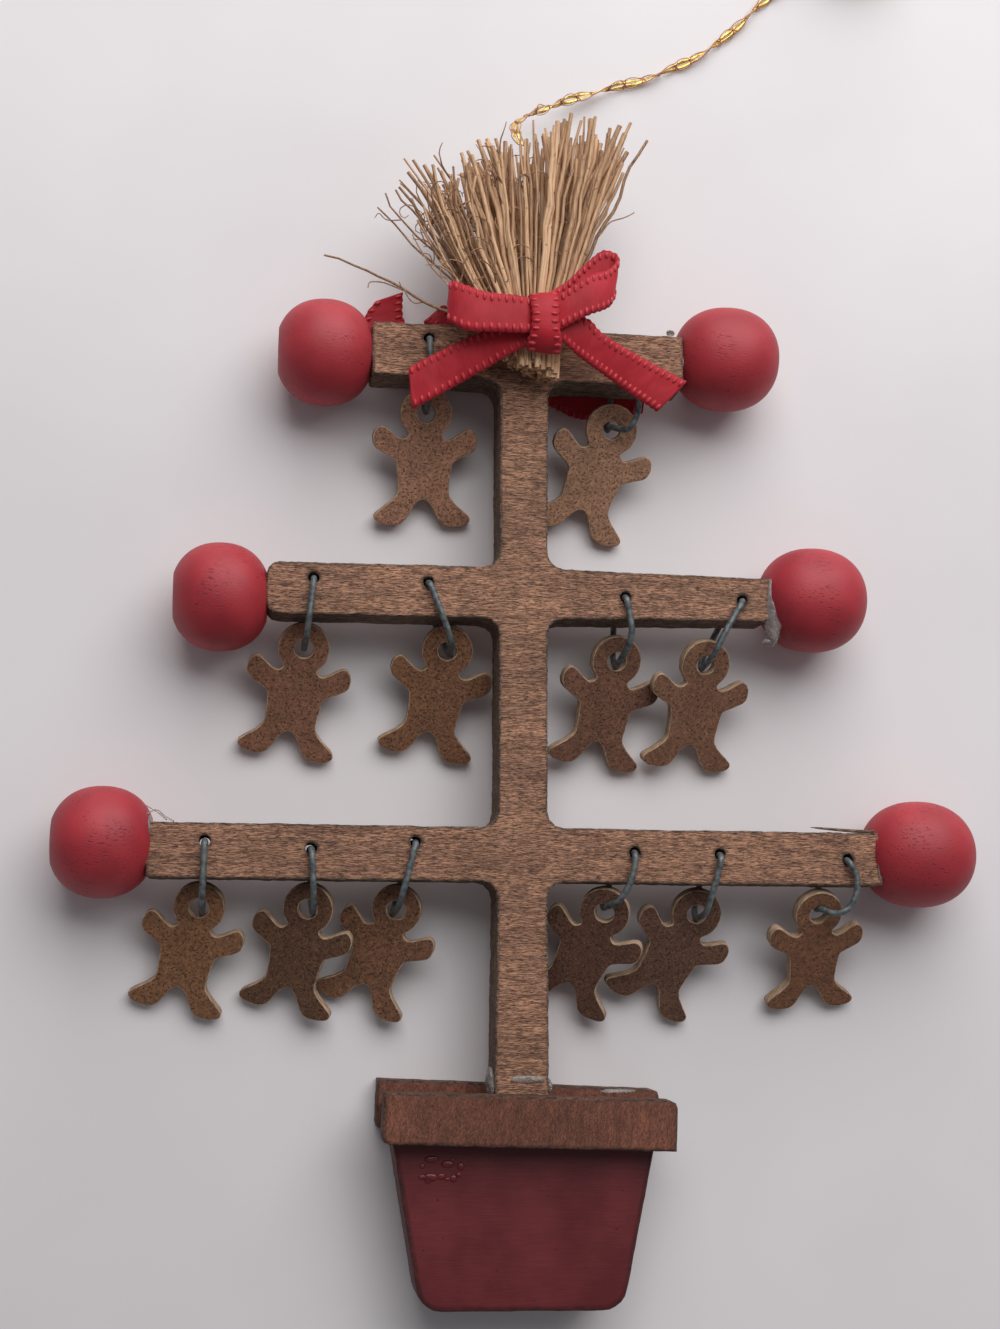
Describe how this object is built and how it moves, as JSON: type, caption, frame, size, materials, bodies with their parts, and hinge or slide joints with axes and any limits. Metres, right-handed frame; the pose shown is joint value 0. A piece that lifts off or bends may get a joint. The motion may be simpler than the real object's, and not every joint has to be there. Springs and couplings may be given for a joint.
{
  "type": "wooden tree ornament",
  "caption": "Flat hanging ornament: a stained wooden tree in a red pot, with red beads, gingerbread men on wires, a straw bundle, ribbon bows and a gold cord.",
  "frame": {"origin": "on the table, under the middle of the pot rim's flat back, where the ornament lies", "axes": "+X to the viewer's right, +Y along the stem to the top of the tree, +Z out of the front face"},
  "size_m": [0.1056, 0.175, 0.0171],
  "materials": {
    "stained_wood": "brown stain, open grain, dull",
    "pot_paint": "dark red paint, satin, worn at the edges",
    "rim_wood": "red brown stain, dull",
    "bead_paint": "matt red paint on turned wood",
    "ginger_board": "brown pressed board, grainy face, pale cut edge",
    "grey_wire": "dark annealed wire",
    "straw": "dry broom straw",
    "red_satin": "satin ribbon with looped edges",
    "gold_cord": "metallic gold knitted cord with a pink thread"
  },
  "bodies": {
    "root": {"tree_frame": "stained_wood", "pot_board": "pot_paint", "rim_front": "rim_wood", "rim_back": "rim_wood", "bead_top_left": "bead_paint", "bead_top_right": "bead_paint", "bead_middle_left": "bead_paint", "bead_middle_right": "bead_paint", "bead_bottom_left": "bead_paint", "bead_bottom_right": "bead_paint", "figure_01": "ginger_board", "figure_02": "ginger_board", "figure_03": "ginger_board", "figure_04": "ginger_board", "figure_05": "ginger_board", "figure_06": "ginger_board", "figure_07": "ginger_board", "figure_08": "ginger_board", "figure_09": "ginger_board", "figure_10": "ginger_board", "figure_11": "ginger_board", "figure_12": "ginger_board", "wire_01": "grey_wire", "wire_02": "grey_wire", "wire_03": "grey_wire", "wire_04": "grey_wire", "wire_05": "grey_wire", "wire_06": "grey_wire", "wire_07": "grey_wire", "wire_08": "grey_wire", "wire_09": "grey_wire", "wire_10": "grey_wire", "wire_11": "grey_wire", "wire_12": "grey_wire", "bristle_bundle": "straw", "front_bow": "red_satin", "back_bow": "red_satin", "cord_run": "gold_cord", "cord_coil": "gold_cord", "cord_knot": "gold_cord"}
  },
  "joints": []
}
